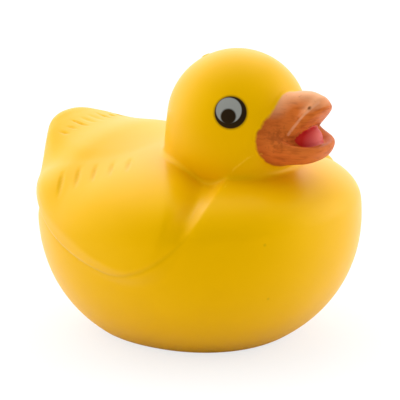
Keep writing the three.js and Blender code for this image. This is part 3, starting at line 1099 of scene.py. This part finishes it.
    def build(self, node: bpy.types.Object) -> None:
        """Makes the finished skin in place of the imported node.

        Args:
            node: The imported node.
        """
        piece = self.remeshed(node)
        points = self.sculpt(piece)
        self.mark(piece, points)
        piece.data.materials.append(self.material())
        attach(piece, "root")
        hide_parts("duck")
        LOG.info("duck_skin: %d faces", len(piece.data.polygons))


@dataclass(frozen=True)
class SoftBox:
    """A square light that points at the duck.

    Its place is in degrees, to the right of the camera as the duck sees it and above the floor. Its side is
    in millimetres, and a brightness of 1 is a white wall in full light.
    """

    name: str
    turn: float
    rise: float
    side: float
    brightness: float


@dataclass(frozen=True)
class Studio:
    """A white sweep, a tent of light, soft boxes and the camera at the photograph's angle."""

    azimuth: float = 38.0
    elevation: float = 17.0
    distance: float = 700.0
    target_height: float = 33.0
    pixels_per_mm: float = 3.835
    image: int = 400
    centre: tuple[float, float] = (205.0, 204.9)
    sensor_width: float = 36.0
    clip_near: float = 50.0
    clip_far: float = 20000.0
    box_distance: float = 800.0
    tent: float = 1.45
    opening: float = 0.33
    opening_edge: float = -0.1
    opening_turn: float = 15.0
    floor_half: float = 3000.0
    floor_glow: float = 0.75
    floor_seen: str = "#909090"
    floor_grey: str = "#f4f4f4"
    boxes: tuple[SoftBox, ...] = (
        SoftBox("top_box", -165, 55, 1000, 0.75),
        SoftBox("right_box", 95, 15, 600, 2.1),
        SoftBox("left_box", -105, 15, 700, 0.9),
    )

    def axes(self) -> tuple[Vector, Vector, Vector]:
        """The camera's right, up and backward directions."""
        a, e = math.radians(self.azimuth), math.radians(self.elevation)
        right = Vector((math.cos(a), math.sin(a), 0))
        up = Vector((-math.sin(a) * math.sin(e), math.cos(a) * math.sin(e), math.cos(e)))
        back = Vector((math.sin(a) * math.cos(e), -math.cos(a) * math.cos(e), math.sin(e)))
        return right, up, back

    def heading(self, turn: float) -> float:
        """The angle from +X, in radians, of what lies some degrees round from the camera."""
        return math.radians(self.azimuth - RIGHT_SIDE + turn)

    def camera(self) -> None:
        """Sets up the camera at the photograph's angle."""
        right, up, back = self.axes()
        half = self.image / 2
        target = Vector((0, 0, self.target_height))
        target -= right * (self.centre[0] - half) / self.pixels_per_mm
        target += up * (self.centre[1] - half) / self.pixels_per_mm
        data = bpy.data.cameras.new("camera")
        data.sensor_width = self.sensor_width
        data.lens = self.pixels_per_mm * self.distance / self.image * data.sensor_width
        data.clip_start = self.clip_near * MM
        data.clip_end = self.clip_far * MM
        camera = bpy.data.objects.new("camera", data)
        turn = Matrix((right, up, back)).transposed().to_4x4()
        camera.matrix_world = Matrix.Translation((target + back * self.distance) * MM) @ turn
        bpy.context.scene.collection.objects.link(camera)
        bpy.context.scene.camera = camera

    def soft_box(self, box: SoftBox) -> None:
        """Hangs a soft box.

        Args:
            box: Its name, place, size and brightness.
        """
        around = self.heading(box.turn)
        above = math.radians(box.rise)
        flat = Vector((math.cos(around), math.sin(around), 0)) * math.cos(above)
        target = Vector((0, 0, self.target_height)) * MM
        data = bpy.data.lights.new(box.name, "AREA")
        data.shape = "SQUARE"
        data.size = box.side * MM
        data.energy = box.brightness * math.pi * data.size**2
        light = bpy.data.objects.new(box.name, data)
        direction = flat + Vector((0, 0, math.sin(above)))
        light.location = target + direction * self.box_distance * MM
        light.rotation_euler = direction.to_track_quat("Z", "Y").to_euler()
        bpy.context.scene.collection.objects.link(light)

    def floor(self) -> None:
        """Lays the sweep: white to the camera but for a soft shadow, and matt white paper to the duck."""
        work = bmesh.new()
        bmesh.ops.create_grid(work, x_segments=1, y_segments=1, size=self.floor_half * MM)
        mesh = bpy.data.meshes.new("floor")
        work.to_mesh(mesh)
        work.free()
        floor = bpy.data.objects.new("floor", mesh)
        bpy.context.scene.collection.objects.link(floor)
        material = bpy.data.materials.new("white_sweep")
        material.use_nodes = True
        tree = material.node_tree
        tree.nodes.clear()
        rays = add_node(tree, "ShaderNodeLightPath")
        lit = add_node(tree, "ShaderNodeBsdfDiffuse", {"Color": linear(self.floor_seen)})
        glow = add_node(tree, "ShaderNodeEmission", {"Color": linear(WHITE), "Strength": self.floor_glow})
        seen = add_node(tree, "ShaderNodeAddShader", {0: lit.outputs[0], 1: glow.outputs[0]})
        felt = add_node(tree, "ShaderNodeBsdfDiffuse", {"Color": linear(self.floor_grey)})
        choice = {0: rays.outputs["Is Camera Ray"], 1: felt.outputs[0], 2: seen.outputs[0]}
        mixed = add_node(tree, "ShaderNodeMixShader", choice)
        add_node(tree, "ShaderNodeOutputMaterial", {"Surface": mixed.outputs[0]})
        mesh.materials.append(material)

    def world(self) -> None:
        """Sets a pale tent, dimmer round its opening on the camera's side, and white to the camera."""
        world = bpy.data.worlds.new("tent")
        bpy.context.scene.world = world
        world.use_nodes = True
        tree = world.node_tree
        tree.nodes.clear()
        rays = add_node(tree, "ShaderNodeLightPath")
        direction = add_node(tree, "ShaderNodeTexCoord").outputs["Generated"]
        around = self.heading(self.opening_turn)
        above = math.radians(self.elevation)
        opening = (math.cos(around) * math.cos(above), math.sin(around) * math.cos(above), math.sin(above))
        toward = add_node(tree, "ShaderNodeVectorMath", {0: direction, 1: opening}, operation="DOT_PRODUCT")
        limits = {
            "Value": toward.outputs["Value"],
            "From Min": self.opening_edge,
            "From Max": 1.0,
            "To Min": self.tent,
            "To Max": self.opening,
        }
        strength = add_node(tree, "ShaderNodeMapRange", limits, interpolation_type="SMOOTHSTEP").outputs[0]
        soft = add_node(tree, "ShaderNodeBackground", {"Color": linear(WHITE), "Strength": strength})
        white = add_node(tree, "ShaderNodeBackground", {"Color": linear(WHITE), "Strength": 1.0})
        choice = {0: rays.outputs["Is Camera Ray"], 1: soft.outputs[0], 2: white.outputs[0]}
        mixed = add_node(tree, "ShaderNodeMixShader", choice)
        add_node(tree, "ShaderNodeOutputWorld", {"Surface": mixed.outputs[0]})

    def build(self) -> None:
        """Sets up the whole studio."""
        self.camera()
        self.floor()
        self.world()
        for box in self.boxes:
            self.soft_box(box)
        bpy.context.scene.view_settings.view_transform = "Standard"


def main() -> None:
    """Builds the duck and its studio."""
    logging.basicConfig(level=logging.INFO, format="%(name)s: %(message)s")
    DuckSkin().build(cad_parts["duck"])
    Studio().build()
    LOG.info("sizes written")


if __name__ == "__main__":
    main()
